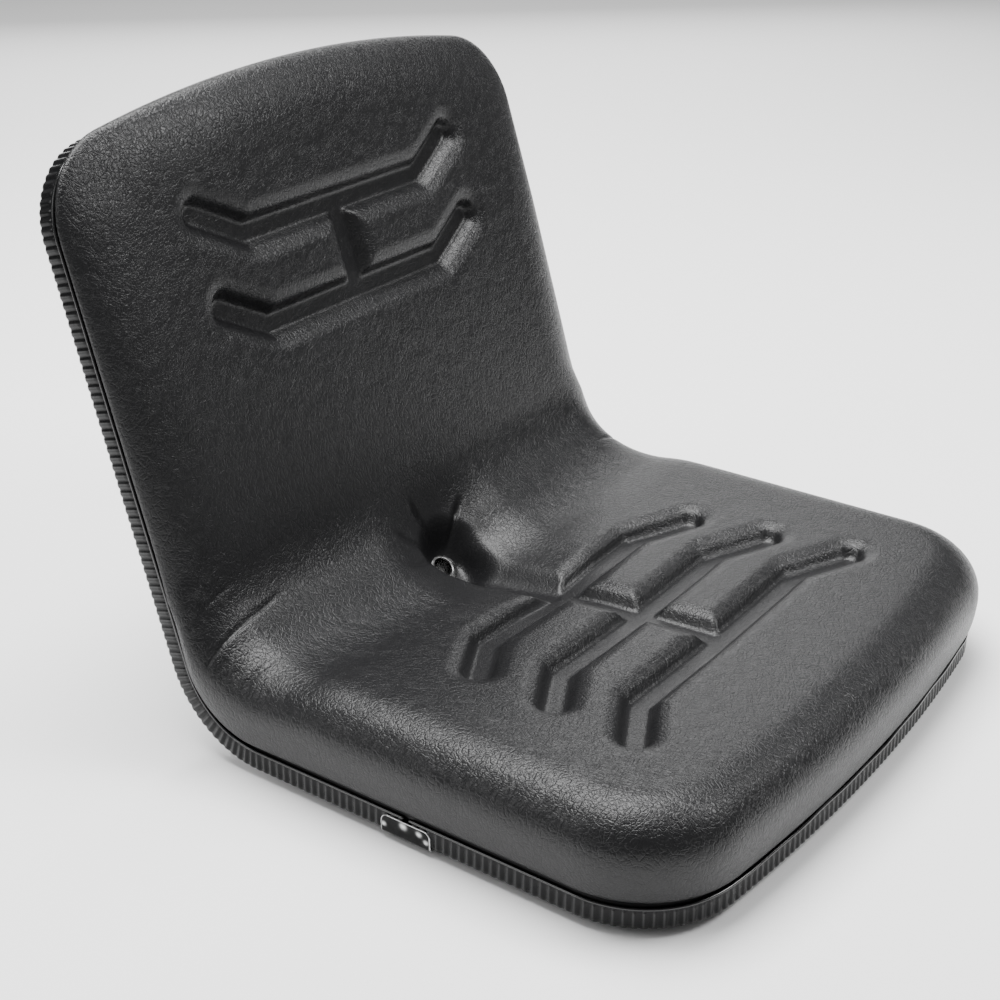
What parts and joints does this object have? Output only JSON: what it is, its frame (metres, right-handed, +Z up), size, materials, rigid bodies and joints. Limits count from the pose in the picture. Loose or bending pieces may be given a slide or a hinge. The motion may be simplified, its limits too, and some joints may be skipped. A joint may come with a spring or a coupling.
{
  "type": "tractor seat",
  "caption": "Padded vehicle seat: moulded cushion with pressed grooves on a bent steel pan, ribbed edge trim, a drain eyelet and a bolt-on mounting pad.",
  "frame": {"origin": "centre of the four-bolt pattern on the underside of the pan's mounting pad", "axes": "+X to the sitter's left, +Y to the rear, towards the backrest, +Z up from the mounting face"},
  "size_m": [0.48, 0.5123, 0.419],
  "materials": {
    "pan_paint": "satin black paint",
    "zinc_steel": "bright zinc plate",
    "foam": "moulded open-cell foam",
    "vinyl": "semi-matte grained vinyl",
    "eyelet_metal": "dark plated",
    "trim_pvc": "soft black, glossy ribs",
    "clip_steel": "plain rolled"
  },
  "bodies": {
    "root": {"seat_pan": "pan_paint", "mounting_nuts": "zinc_steel", "foam_cushion": "foam", "vinyl_cover": "vinyl", "drain_eyelet": "eyelet_metal", "eyelet_washer": "eyelet_metal", "edge_trim": "trim_pvc", "trim_joint_clip": "clip_steel"}
  },
  "joints": []
}
